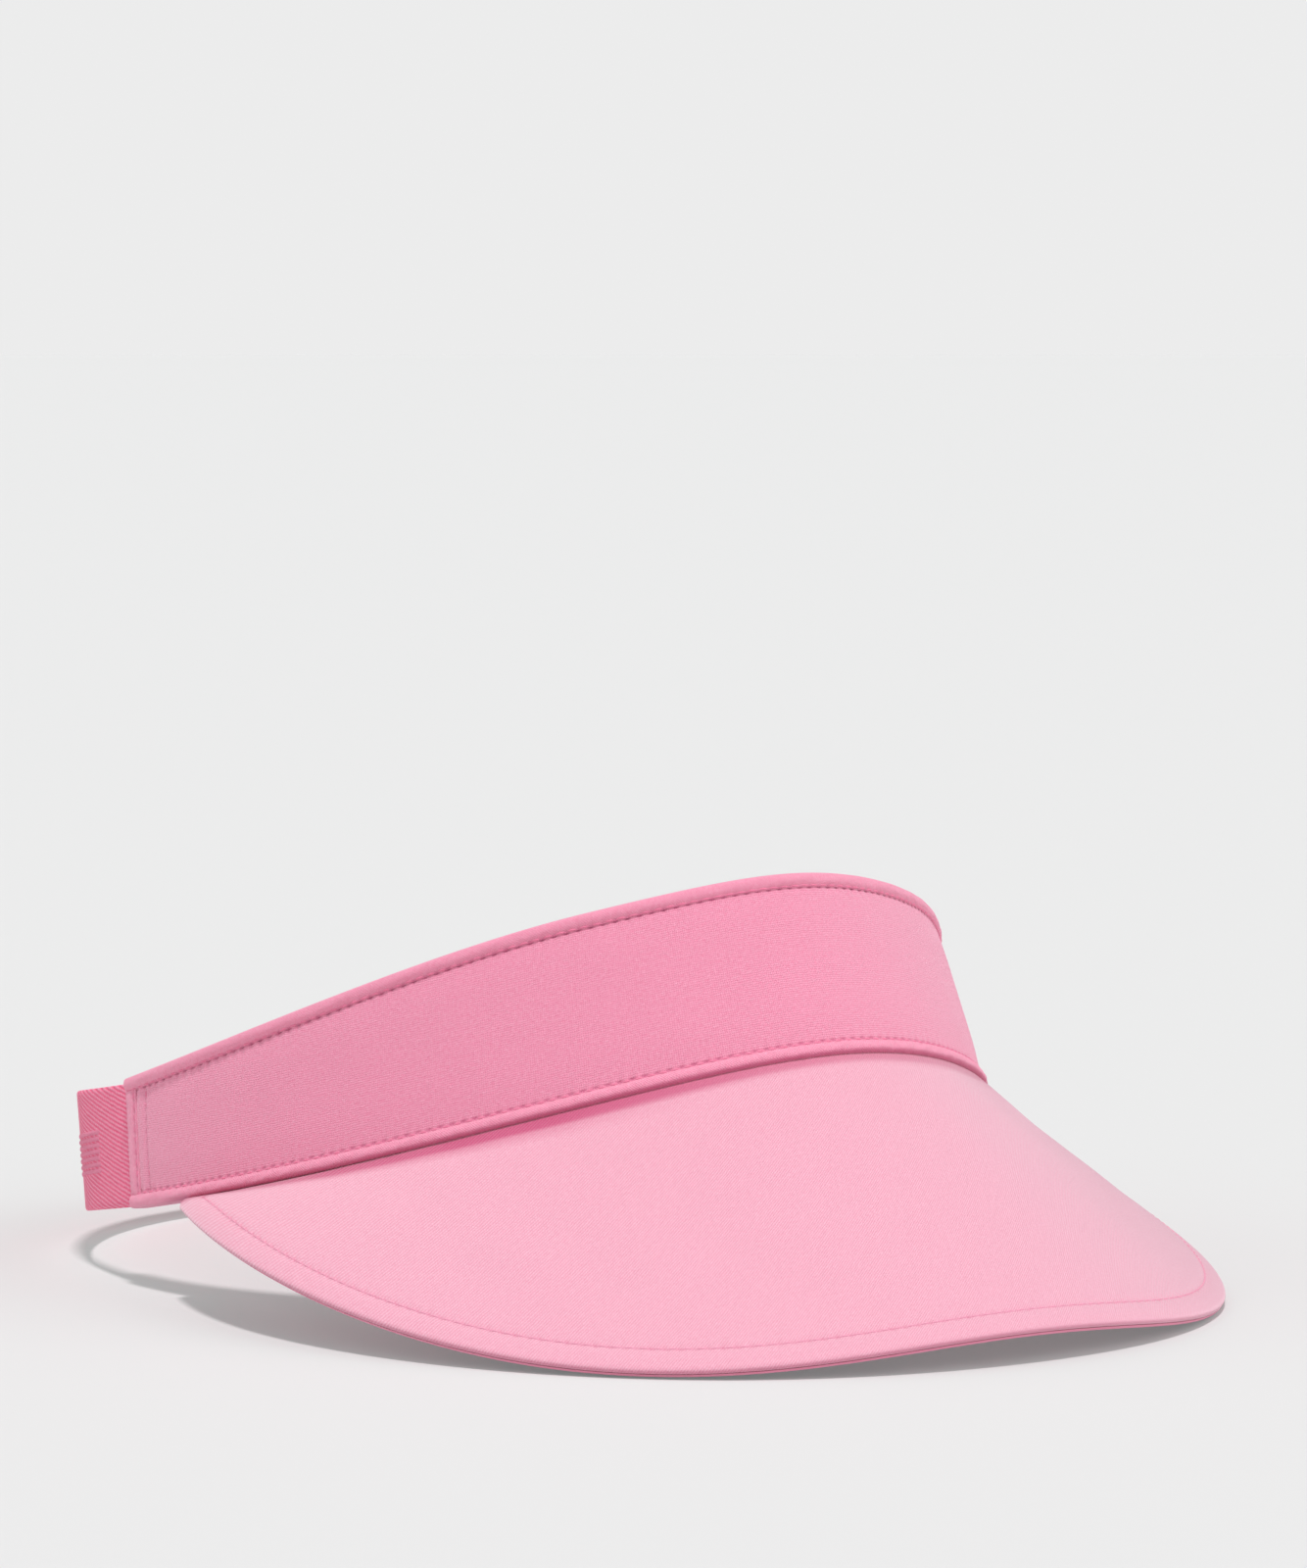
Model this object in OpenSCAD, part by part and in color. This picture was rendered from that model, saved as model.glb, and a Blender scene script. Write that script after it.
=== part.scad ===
// Sun visor: a curved fabric band, a stiffened brim and an elastic strap.
// +Z is up, the brim points along -Y, and the wearer's left is +X.
// The origin is on the table, below the middle of the whole visor.

/* [Head loop] */
// Width of the head loop across the sides, over the outside
loop_w = 169.6; // [140:0.2:205]
// Length of the head loop from front to rear, over the outside
loop_l = 190.4; // [158:0.2:230]
// How far the sides of the loop are squared off
loop_square = 4.6; // [0:0.1:7]
// How far the front and rear of the loop are drawn out
loop_point = 4.3; // [0:0.1:6]
// How much broader the rear of the loop is than its front
loop_egg = 5.2; // [0:0.1:7]
// Tilt of the loop, with its front up, in degrees
loop_tilt = 11; // [6:0.1:14]
// Height of the loop's lower edge above the table at the rear
loop_rear_z = 1.7; // [0.2:0.1:10]
// How much the loop rises from its sides to its very back
loop_rise = 1.7; // [0:0.1:6]
// Rise of the front over the sides
loop_saddle = 6.4; // [2:0.1:8]

/* [Band] */
// Height of the band at the front
band_front_h = 35.8; // [29:0.1:48]
// Height that the band narrows to behind its ends
band_back_h = 22.9; // [19:0.1:28]
// Where the band starts to narrow, as degrees round the loop
band_taper_from = 36; // [20:1:50]
// Where the band would stop narrowing, as degrees round the loop
band_taper_to = 113; // [100:1:120]
// Where the band ends, as degrees round the loop from the front
band_end = 94; // [90:1:100]
// Inward lean of the band at the front, in degrees
lean_front = 15.5; // [5:0.5:20]
// Inward lean of the strap at the rear, in degrees
lean_rear = 0; // [0:0.5:6]

/* [Layers] */
// Thickness of the outer fabric of the band
face_t = 0.7; // [0.5:0.05:1.1]
// Thickness of the stiffening inside the band
stiffener_t = 1.0; // [0.6:0.05:1.5]
// Thickness of the soft sweatband
sweatband_t = 1.4; // [1:0.05:2.5]
// Room left between two layers
ply_gap = 0.05; // [0.03:0.01:0.1]
// Height of the binding over each edge of the band
binding_h = 2.9; // [2.2:0.1:4]
// Thickness of the binding's fabric
binding_t = 0.5; // [0.4:0.05:0.8]
// Width of the hem strip that closes each end of the band
hem_w = 4.0; // [2:0.1:5]
// Thickness of the hem strip
hem_t = 0.45; // [0.3:0.05:0.7]

/* [Stitching] */
// Distance of a stitched row inside the edge of its binding or hem
row_inset = 0.6; // [0.4:0.05:0.9]
// Distance between the two stitched rows at each end of the band
row_step = 4.2; // [2.2:0.1:4.5]
// Distance of the brim's stitched row from the rim
brim_row = 5.6; // [4:0.1:10]
// Thickness of the sewing thread
thread_t = 0.35; // [0.25:0.05:0.5]

/* [Strap] */
// Width of the elastic strap
strap_w = 22.8; // [18:0.1:23.2]
// Height of the strap's lower edge above the band's lower edge
strap_low = 0.7; // [0.6:0.05:1]
// Thickness of the elastic strap
strap_t = 1.3; // [0.9:0.05:1.8]
// Length of strap tucked inside each end of the band
strap_tuck = 9; // [6:0.5:14]
// Where the back piece of the strap starts, as degrees round the loop
strap_back_from = 146; // [138:1:156]
// Gap between the pieces of the strap
strap_split = 0.3; // [0.2:0.05:0.5]
// Length of the woven block on the strap
block_l = 30; // [20:1:36]
// Height of the woven block
block_h = 8.6; // [6:0.2:12]
// Distance of the woven block from the end of the band
block_from = 18; // [10:0.5:18]
// How far the woven block stands out
block_t = 0.4; // [0.3:0.05:0.8]
// Ribs in the woven block
block_ribs = 7; // [5:2:11]

/* [Brim] */
// Width of the brim across its widest part
brim_w = 191.8; // [180:0.2:233]
// Distance from the band to the front of the brim, seen from above
brim_reach = 57; // [48:0.5:70]
// Where the brim meets the band, as degrees round the loop
brim_end = 86; // [80:0.1:89]
// Height of the arch under the front of the brim
brim_arch = 4.6; // [3:0.1:7]
// Fullness of the brim's front corners
brim_corner = 5; // [1:0.1:5]
// Crown of the brim at its sides
crown_side = 4.1; // [0:0.1:5]
// Crown of the brim at its front, below zero where it dips
crown_front = -1.7; // [-3:0.1:1.5]
// Thickness of the plastic board
board_t = 1.0; // [0.7:0.05:1.5]
// Thickness of each fabric cover
cover_t = 0.45; // [0.3:0.05:0.7]
// Distance that the board stops short of the rim
board_inset = 1.2; // [0.8:0.1:2]
// Room between the brim and the band
brim_gap = 0.3; // [0.2:0.05:0.6]

/* [Care label] */
// Width of the folded care label
label_w = 18; // [12:1:26]
// Height of the folded care label
label_h = 14; // [10:1:17]
// Thickness of the folded care label
label_t = 0.4; // [0.3:0.05:0.8]
// Where the label hangs, as degrees round the loop
label_at = 62; // [50:1:72]

/* [Hidden] */

band_steps = 48;        // steps along the band
band_rows = 3;          // steps up the band
brim_steps = 52;        // steps along the brim
brim_rows = 8;          // steps across the brim
strap_steps = 16;       // steps along each piece of the strap
rim_turn = 114.8;       // degrees that the rim turns through on each side
rim_low = 47.5;         // where the rim touches the table, in the same degrees
brim_tip = 4;           // width of the brim where it stops, at its ends
strap_ease = 26;        // degrees over which the strap comes out to the loop's outline
rib_share = 0.62;       // share of the rib spacing that a rib fills
brim_ply = 0.1;         // room left between two layers of the crowned brim

face_pink = [0.93, 0.58, 0.69];
binding_pink = [0.96, 0.64, 0.75];
cover_pink = [0.99, 0.72, 0.80];
under_pink = [0.97, 0.52, 0.66];
strap_pink = [0.88, 0.48, 0.59];
lining_pink = [0.95, 0.66, 0.76];
thread_pink = [0.80, 0.36, 0.50];
core_white = [0.92, 0.92, 0.90];

// ---- the loop ----
loop_a = loop_w / 2 - loop_square;
loop_b = loop_l / 2 + loop_point;

// The lower edge rises to the forehead and is nearly flat behind the sides
function lift(p) = loop_rear_z - loop_rise
    + (cos(p) > 0 ? 2 * loop_saddle : loop_rise) * pow(cos(p), 2);
function plan_x(p) = loop_a * sin(p) - loop_square * sin(3 * p);
function plan_y(p) = -loop_b * cos(p) - loop_egg * cos(2 * p) + loop_point * cos(3 * p);
// The band's lower edge at p degrees round the loop, from 0 at the front
function in_loop(p) = [
    plan_x(p),
    plan_y(p) * cos(loop_tilt),
    lift(p) + (plan_y(180) - plan_y(p)) * sin(loop_tilt)
];

up_loop = [0, sin(loop_tilt), cos(loop_tilt)];
back_loop = [0, cos(loop_tilt), -sin(loop_tilt)];

function plan_tangent(p) = [
    loop_a * cos(p) - 3 * loop_square * cos(3 * p),
    loop_b * sin(p) + 2 * loop_egg * sin(2 * p) - 3 * loop_point * sin(3 * p)
];
// Length round the loop for one degree at p
function per_degree(p) = norm(plan_tangent(p)) * PI / 180;
// Direction out of the loop at p, in the loop's own plane
function outwards(p) = let (t = plan_tangent(p), n = norm(t))
    t[1] / n * [1, 0, 0] - t[0] / n * back_loop;
function lean(p) = lean_rear + (lean_front - lean_rear) * pow((1 + cos(p)) / 2, 2);
// Directions up the wall of the band and out through it
function up_wall(p) = cos(lean(p)) * up_loop - sin(lean(p)) * outwards(p);
function off_wall(p) = sin(lean(p)) * up_loop + cos(lean(p)) * outwards(p);

function clamp01(x) = min(max(x, 0), 1);
function ease(x) = (1 - cos(180 * clamp01(x))) / 2;
function band_h(p) = band_front_h - (band_front_h - band_back_h)
    * ease((abs(p) - band_taper_from) / (band_taper_to - band_taper_from));

// A point on the wall: p degrees round, s above the lower edge, n out of the outer face
function in_wall(p, s, n) = in_loop(p) + s * up_wall(p) + n * off_wall(p);

// ---- the layers, as distances out of the band's outer face ----
core_front = -face_t - ply_gap;
strap_in_band = core_front - ply_gap;
lining_front = min(core_front - stiffener_t, strap_in_band - strap_t - ply_gap) - ply_gap;
lining_back = lining_front - sweatband_t;
bind_out = ply_gap + binding_t;
bind_in = lining_back - ply_gap - binding_t;
bind_free = binding_t + ply_gap;            // height that a binding takes beyond the layers

tuck_end = band_end - strap_tuck / per_degree(band_end);
stiffener_end = tuck_end - strap_split / per_degree(band_end);

// ---- the brim ----
brim_t = board_t + 2 * (cover_t + brim_ply);
brim_root = in_loop(brim_end);
brim_front_y = in_loop(0)[1] - brim_reach;
rim_3 = (brim_root[0] - brim_w / 2 * sin(rim_turn)) / (sin(rim_turn) + sin(3 * rim_turn));
rim_a = brim_w / 2 + rim_3;
rim_b = (brim_root[1] - brim_front_y + brim_corner * (1 - cos(3 * rim_turn)))
    / (1 - cos(rim_turn));
rim_rise = brim_arch / pow(1 - cos(rim_low), 2);
rim_fall = (brim_root[2] / pow(cos(rim_turn) - cos(rim_low), 2) - rim_rise)
    / (cos(rim_turn) - 1);
rim_lift = 0.8 * brim_t;                    // the brim's top above its lower edge at the rim

// The rim's lower edge: it touches the table at rim_low and meets the band at both ends
function on_rim(a) = [
    rim_a * sin(a) + rim_3 * sin(3 * a),
    brim_front_y + rim_b * (1 - cos(a)) - brim_corner * (1 - cos(3 * a)),
    pow(cos(a) - cos(rim_low), 2) * (rim_rise + rim_fall * (cos(a) - 1))
];
function crown(u) = crown_side + (crown_front - crown_side) * cos(brim_end * u);
// A point on top of the brim: u from -1 to 1 along it, t from 0 at the band to 1 at the rim
function on_brim(u, t) = (1 - t) * in_loop(brim_end * u) + t * on_rim(rim_turn * u)
    + [0, 0, (4 * t * (1 - t) * crown(u) + t * rim_lift) * (1 - pow(u, 8))];
step = 0.005;
function brim_normal(u, t) = let (
        along = on_brim(u + step, t) - on_brim(u - step, t),
        across = on_brim(u, t + step) - on_brim(u, t - step),
        n = cross(across, along))
    n / norm(n);
// The same with the point d below the top
function in_brim(u, t, d) = on_brim(u, t) - d * brim_normal(u, t);
function brim_width(u) = norm(on_rim(rim_turn * u) - in_loop(brim_end * u));
// How far along the brim stays at least w wide
function brim_reaches(w) = max([for (u = [0.9 : 0.002 : 1]) if (brim_width(u) >= w) u]);

// ---- placing: over the origin, with the rim on the table ----
mid_y = (on_brim(0, 1)[1] + in_wall(180, strap_low + strap_w, 0)[1]) / 2;
table_z = min([for (u = [0 : 0.02 : 0.8]) in_brim(u, 1, brim_t)[2]]);
function placed(points) = [for (q = points) q - [0, mid_y, table_z]];

// ---- solids ----
function even(from, to, steps) = [for (i = [0 : steps]) from + (to - from) * i / steps];
// The outline of a sheet between two edges, seen on its end: along its front and back again
function sheet(low, high, front, back, rows) = concat(
    [for (s = even(low, high, rows)) [s, front]],
    [for (s = even(high, low, rows)) [s, back]]);

// A closed solid through rings of an even number of points, front half and back half paired
module through_rings(rings) {
    m = len(rings[0]);
    last = len(rings) - 1;
    points = placed([for (r = rings) each r]);
    // the back is split into triangles along the same diagonals as the front
    sides = [for (i = [0 : last - 1]) for (j = [0 : m - 1])
        let (a = i * m + j, b = i * m + (j + 1) % m)
        each j < m / 2 ? [[a, b + m, b], [a, a + m, b + m]] : [[a, a + m, b], [b, a + m, b + m]]];
    starts = [for (j = [0 : m / 2 - 2])
        each [[j, j + 1, m - 2 - j], [j, m - 2 - j, m - 1 - j]]];
    ends = [for (f = starts) [for (j = [2 : -1 : 0]) f[j] + last * m]];
    polyhedron(points, concat(sides, starts, ends), convexity = 8);
}

// ---- the band ----
// A layer of the band from front to back of it, as far as the angle end on both sides
module band_layer(end, front, back, edge) {
    through_rings([for (p = even(-end, end, band_steps))
        [for (q = sheet(edge, band_h(p) - edge, front, back, band_rows))
            in_wall(p, q[0], q[1])]]);
}
module band_face() color(face_pink) band_layer(band_end, 0, -face_t, bind_free);
module sweatband() color(lining_pink)
    band_layer(band_end, lining_front, lining_back, bind_free);
module band_stiffener() color(core_white)
    band_layer(stiffener_end, core_front, core_front - stiffener_t, bind_free + ply_gap);

// A binding folded over an edge, as [distance from the edge, distance out of the face]
fold = 0.8;                                 // how much its outer corners are rounded off
binding_outline = [
    [binding_h, bind_out], [fold, bind_out], [0, bind_out - fold],
    [0, bind_in + fold], [fold, bind_in], [binding_h, bind_in],
    [binding_h, bind_in + binding_t], [binding_t + ply_gap / 2, bind_in + binding_t],
    [binding_t, bind_in + binding_t + ply_gap / 2], [binding_t, ply_gap / 2],
    [binding_t + ply_gap / 2, ply_gap], [binding_h, ply_gap]
];
module top_binding() color(binding_pink)
    through_rings([for (p = even(-band_end, band_end, band_steps))
        [for (q = binding_outline) in_wall(p, band_h(p) - q[0], q[1])]]);
module bottom_binding() color(binding_pink)
    through_rings([for (p = even(band_end, -band_end, band_steps))
        [for (q = binding_outline) in_wall(p, q[0], q[1])]]);

// A strip that closes the end of the band between the bindings, at the wearer's right or left
module end_hem(side) color(binding_pink) {
    from = band_end - hem_w / per_degree(band_end);
    edge = binding_h + ply_gap;
    through_rings([for (p = side < 0 ? [-band_end, -from] : [from, band_end])
        [for (q = sheet(edge, band_h(p) - edge, ply_gap + hem_t, ply_gap, band_rows))
            in_wall(p, q[0], q[1])]]);
}

// ---- the strap ----
// The strap leaves the band behind its outer fabric and comes out to the loop's outline
function strap_front(p) = strap_in_band * (1 - ease((abs(p) - band_end) / strap_ease));
module strap_run(from, to, low, high, out, thick) {
    through_rings([for (p = even(from, to, strap_steps))
        [for (q = sheet(low, high, strap_front(p) + out, strap_front(p) + out - thick, 1))
            in_wall(p, q[0], q[1])]]);
}
split_turn = strap_split / per_degree(strap_back_from);
module strap_side(side) color(strap_pink) {
    to = strap_back_from - split_turn;
    strap_run(side < 0 ? -to : tuck_end, side < 0 ? -tuck_end : to,
        strap_low, strap_low + strap_w, 0, strap_t);
}
module strap_back() color(strap_pink)
    strap_run(strap_back_from, 360 - strap_back_from, strap_low, strap_low + strap_w, 0, strap_t);

// Plain raised ribs woven into the strap on the wearer's right
module strap_block() color(strap_pink) {
    pitch = block_h / block_ribs;
    first = band_end + block_from / per_degree(band_end);
    last = first + block_l / per_degree(first);
    low = strap_low + (strap_w - block_h) / 2;
    for (i = [0 : block_ribs - 1])
        strap_run(-last, -first, low + i * pitch, low + (i + rib_share) * pitch,
            ply_gap + block_t, block_t);
}

// ---- the brim ----
// A layer of the brim: an outline of [share of width, distance in from the rim, depth]
module brim_layer(least, outline) {
    end = brim_reaches(least);
    through_rings([for (u = even(-end, end, brim_steps))
        let (w = brim_width(u), start = brim_gap / w)
        [for (q = outline)
            in_brim(u, start + q[0] * (1 - start - q[1] / w), q[2])]]);
}
function across(inset, depth, from, to) = [for (t = even(from, to, brim_rows)) [t, inset, depth]];
half = (brim_t - brim_ply) / 2;
module brim_top_cover() color(cover_pink) brim_layer(brim_tip, concat(
    across(0, 0, 0, 1), [[1, 0, half]],
    [[1, cover_t, half]], across(cover_t, cover_t, 1, 0)));
module brim_under_cover() color(under_pink) brim_layer(brim_tip, concat(
    across(cover_t, brim_t - cover_t, 0, 1), [[1, cover_t, half + brim_ply]],
    [[1, 0, half + brim_ply]], across(0, brim_t, 1, 0)));
module brim_board() color(core_white) brim_layer(brim_tip + 3 * board_inset, concat(
    across(board_inset, cover_t + brim_ply, 0, 1),
    across(board_inset, cover_t + brim_ply + board_t, 1, 0)));

// ---- the care label, folded and sewn in above the lower binding ----
module care_label() color("white") {
    half_turn = label_w / 2 / per_degree(label_at);
    back = lining_back - ply_gap;
    low = binding_h + ply_gap;
    through_rings([for (p = even(label_at - half_turn, label_at + half_turn, 4))
        [for (q = sheet(low, low + label_h, back, back - label_t, 1)) in_wall(p, q[0], q[1])]]);
}

// ---- the stitching, each row as one bead of thread ----
thread_low = ply_gap / 2;
// A row along an edge of the band; rise is its height above the lower edge at p
module long_row(from_top) color(thread_pink) {
    depth = binding_h - row_inset;
    end = band_end - row_inset / per_degree(band_end);
    front = bind_out + thread_low + thread_t;
    through_rings([for (p = even(-end, end, band_steps))
        let (s = from_top ? band_h(p) - depth : depth)
        [for (q = sheet(s - thread_t / 2, s + thread_t / 2, front, front - thread_t, 1))
            in_wall(p, q[0], q[1])]]);
}
// A row up the end of the band, over the hem or beside it
module end_row(side, distance, out) {
    turn = side * (band_end - distance / per_degree(band_end));
    half_w = thread_t / 2 / per_degree(band_end);
    edge = binding_h + 2 * ply_gap;
    high = band_h(turn) - edge;
    through_rings([for (s = even(edge, high, band_rows))
        [in_wall(turn + half_w, s, out + thread_t), in_wall(turn - half_w, s, out + thread_t),
         in_wall(turn - half_w, s, out), in_wall(turn + half_w, s, out)]]);
}
module end_rows(side) color(thread_pink) {
    end_row(side, hem_w - row_inset, ply_gap + hem_t + thread_low);
    end_row(side, hem_w - row_inset + row_step, thread_low);
}
module brim_stitching() color(thread_pink) {
    end = brim_reaches(brim_row + brim_tip);
    through_rings([for (u = even(-end, end, brim_steps))
        let (w = brim_width(u), t = 1 - brim_row / w, side = thread_t / 2 / w)
        [in_brim(u, t - side, -brim_ply - thread_t), in_brim(u, t + side, -brim_ply - thread_t),
         in_brim(u, t + side, -brim_ply), in_brim(u, t - side, -brim_ply)]]);
}

band_face();
band_stiffener();
sweatband();
top_binding();
bottom_binding();
end_hem(-1);  // end_hem_right
end_hem(1);  // end_hem_left
brim_board();
brim_top_cover();
brim_under_cover();
strap_side(-1);  // strap_side_right
strap_side(1);  // strap_side_left
strap_back();
strap_block();
care_label();
long_row(true);  // top_stitching
long_row(false);  // bottom_stitching
brim_stitching();
end_rows(-1);  // end_stitching_right
end_rows(1);  // end_stitching_left
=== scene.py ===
import math

import bpy
import numpy as np
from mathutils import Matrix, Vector


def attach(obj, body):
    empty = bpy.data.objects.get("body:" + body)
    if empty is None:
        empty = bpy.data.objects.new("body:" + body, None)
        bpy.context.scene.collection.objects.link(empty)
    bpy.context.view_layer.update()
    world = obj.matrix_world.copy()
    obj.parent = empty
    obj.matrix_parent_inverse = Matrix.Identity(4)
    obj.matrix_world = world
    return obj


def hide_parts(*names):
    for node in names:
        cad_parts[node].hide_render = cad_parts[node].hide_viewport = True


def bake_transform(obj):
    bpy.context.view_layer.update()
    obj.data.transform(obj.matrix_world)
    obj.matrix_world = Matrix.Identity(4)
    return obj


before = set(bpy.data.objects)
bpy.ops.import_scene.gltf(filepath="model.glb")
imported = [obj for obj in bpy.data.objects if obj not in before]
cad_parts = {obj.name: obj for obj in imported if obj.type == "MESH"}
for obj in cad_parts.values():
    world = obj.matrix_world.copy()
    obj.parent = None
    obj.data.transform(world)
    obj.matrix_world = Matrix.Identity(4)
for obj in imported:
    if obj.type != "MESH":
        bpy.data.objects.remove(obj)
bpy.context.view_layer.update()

mm = 0.001

# camera, floor and light
studio = {
    "cameraAt": (-0.677812, -0.970786, 0.183203), "lookAt": (0.009678, 0.006325, 0.093601),
    "lens": 143.13, "nearest": 0.05, "farthest": 30, "backdropTone": 0.84, "skyStrength": 0.48,
    # the floor glows a little, which keeps the shadow of a pink cloth grey
    "floorRadius": 40.0, "floorRing": 0.9,
    "floorTone": (0.645, 0.590, 0.602), "floorGlow": (0.047, 0.115, 0.100),
    "keyAt": (-0.10, -0.20, 1.0), "keySpread": 7, "keyPower": 1.85,
    "fillAt": (0.7, -1.0, 0.38), "fillSpread": 70, "fillPower": 1.12,
    "sideAt": (-1.0, 0.55, 0.35), "sideSpread": 70, "sidePower": 0.66,
}

def aim(item, place, target):
    item.location = place
    item.rotation_euler = (Vector(target) - Vector(place)).to_track_quat("-Z", "Y").to_euler()

def softSun(name, place, spread, power):
    lamp = bpy.data.lights.new(name, "SUN")
    lamp.angle, lamp.energy = math.radians(spread), power
    item = bpy.data.objects.new(name, lamp)
    bpy.context.scene.collection.objects.link(item)
    aim(item, place, (0, 0, 0))

def clearSelection():
    if bpy.context.mode != "OBJECT":
        bpy.ops.object.mode_set(mode="OBJECT")
    bpy.ops.object.select_all(action="DESELECT")

def buildStudio():
    camera = bpy.data.cameras.new("camera")
    camera.lens = studio["lens"]
    camera.clip_start, camera.clip_end = studio["nearest"], studio["farthest"]
    item = bpy.data.objects.new("camera", camera)
    bpy.context.scene.collection.objects.link(item)
    aim(item, studio["cameraAt"], studio["lookAt"])
    bpy.context.scene.camera = item

    world = bpy.data.worlds.new("roomLight")
    world.use_nodes = True
    tree = world.node_tree
    sky = tree.nodes["Background"]
    sky.inputs["Strength"].default_value = studio["skyStrength"]
    seen = tree.nodes.new("ShaderNodeBackground")       # the plain pale backdrop
    seen.inputs["Strength"].default_value = studio["backdropTone"]
    for paper in (sky, seen):
        paper.inputs["Color"].default_value = (1, 1, 1, 1)
    path, both = tree.nodes.new("ShaderNodeLightPath"), tree.nodes.new("ShaderNodeMixShader")
    tree.links.new(path.outputs["Is Camera Ray"], both.inputs["Fac"])
    tree.links.new(sky.outputs["Background"], both.inputs[1])
    tree.links.new(seen.outputs["Background"], both.inputs[2])
    tree.links.new(both.outputs["Shader"], tree.nodes["World Output"].inputs["Surface"])
    bpy.context.scene.world = world
    bpy.context.scene.view_settings.view_transform = "Standard"
    softSun("keyLamp", studio["keyAt"], studio["keySpread"], studio["keyPower"])
    softSun("fillLamp", studio["fillAt"], studio["fillSpread"], studio["fillPower"])
    softSun("sideLamp", studio["sideAt"], studio["sideSpread"], studio["sidePower"])

    clearSelection()
    bpy.ops.mesh.primitive_circle_add(vertices=96, radius=studio["floorRadius"], fill_type="NGON")
    floor = bpy.context.object
    floor.name = "paleFloor"
    bpy.ops.object.mode_set(mode="EDIT")
    bpy.ops.mesh.select_all(action="SELECT")
    bpy.ops.mesh.inset(thickness=studio["floorRadius"] * studio["floorRing"])
    bpy.ops.object.mode_set(mode="OBJECT")
    paint = bpy.data.materials.new("paleFloor")
    paint.use_nodes = True
    surface = paint.node_tree.nodes["Principled BSDF"]
    surface.inputs["Base Color"].default_value = (*studio["floorTone"], 1)
    surface.inputs["Emission Color"].default_value = (*studio["floorGlow"], 1)
    surface.inputs["Emission Strength"].default_value = 1.0
    surface.inputs["Roughness"].default_value = 0.9
    surface.inputs["Specular IOR Level"].default_value = 0.1
    floor.data.materials.append(paint)
    print("studio ready")

buildStudio()

# the visor's own surfaces, in millimetres and degrees
visor = {
    "loopWidth": 169.6, "loopLength": 190.4, "square": 4.6, "point": 4.3, "egg": 5.2,
    "tilt": 11.0, "rearZ": 1.7, "rise": 1.7, "saddle": 6.4,
    "frontHeight": 35.8, "backHeight": 22.9, "taperFrom": 36, "taperTo": 113,
    "bandEnd": 94, "leanFront": 15.5, "leanRear": 0.0,
    "brimWidth": 191.8, "reach": 57, "brimEnd": 86.0, "arch": 4.6, "corner": 5.0,
    "crownSide": 4.1, "crownFront": -1.7, "rimTurn": 114.8, "rimLow": 47.5,
    "brimThick": 2.1, "brimGap": 0.3, "brimTip": 4.0,
}

def sn(a):
    return np.sin(np.radians(a))

def cs(a):
    return np.cos(np.radians(a))

def ease(x):
    return (1 - np.cos(np.pi * np.clip(x, 0, 1))) / 2

def bump(x):
    return np.exp(-x * x)

halfWide = visor["loopWidth"] / 2 - visor["square"]
halfLong = visor["loopLength"] / 2 + visor["point"]

def planY(p):
    return -halfLong * cs(p) - visor["egg"] * cs(2 * p) + visor["point"] * cs(3 * p)

def loopPoint(p):
    p = np.asarray(p, float)
    x = halfWide * sn(p) - visor["square"] * sn(3 * p)
    swing = np.where(cs(p) > 0, 2 * visor["saddle"], visor["rise"])
    z = (visor["rearZ"] - visor["rise"] + swing * cs(p) ** 2
         + (planY(180.0) - planY(p)) * sn(visor["tilt"]))
    return np.stack([x, planY(p) * cs(visor["tilt"]), z], -1)

upLoop = np.array([0, sn(visor["tilt"]), cs(visor["tilt"])])
backLoop = np.array([0, cs(visor["tilt"]), -sn(visor["tilt"])])

def outwards(p):
    tx = halfWide * cs(p) - 3 * visor["square"] * cs(3 * p)
    ty = halfLong * sn(p) + 2 * visor["egg"] * sn(2 * p) - 3 * visor["point"] * sn(3 * p)
    size = np.hypot(tx, ty)
    return ((ty / size)[..., None] * np.array([1.0, 0, 0])
            - (tx / size)[..., None] * backLoop)

def wallAxes(p):
    lean = visor["leanRear"] + (visor["leanFront"] - visor["leanRear"]) * ((1 + cs(p)) / 2) ** 2
    out = outwards(p)
    c, s = cs(lean)[..., None], sn(lean)[..., None]
    return c * upLoop - s * out, s * upLoop + c * out

def bandHeight(p):
    drop = visor["frontHeight"] - visor["backHeight"]
    span = visor["taperTo"] - visor["taperFrom"]
    return visor["frontHeight"] - drop * ease((np.abs(p) - visor["taperFrom"]) / span)

def rawWall(p, s, n):
    up, off = wallAxes(p)
    return loopPoint(p) + np.asarray(s)[..., None] * up + np.asarray(n)[..., None] * off

brimRoot = loopPoint(visor["brimEnd"])
rimFront = loopPoint(0.0)[1] - visor["reach"]
rim3 = ((brimRoot[0] - visor["brimWidth"] / 2 * sn(visor["rimTurn"]))
        / (sn(visor["rimTurn"]) + sn(3 * visor["rimTurn"])))
rimA = visor["brimWidth"] / 2 + rim3
rimB = ((brimRoot[1] - rimFront + visor["corner"] * (1 - cs(3 * visor["rimTurn"])))
        / (1 - cs(visor["rimTurn"])))
rimRise = visor["arch"] / (1 - cs(visor["rimLow"])) ** 2
rimFall = ((brimRoot[2] / (cs(visor["rimTurn"]) - cs(visor["rimLow"])) ** 2 - rimRise)
           / (cs(visor["rimTurn"]) - 1))

def rimPoint(a):
    x = rimA * sn(a) + rim3 * sn(3 * a)
    y = rimFront + rimB * (1 - cs(a)) - visor["corner"] * (1 - cs(3 * a))
    z = (cs(a) - cs(visor["rimLow"])) ** 2 * (rimRise + rimFall * (cs(a) - 1))
    return np.stack([x, y, z], -1)

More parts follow.
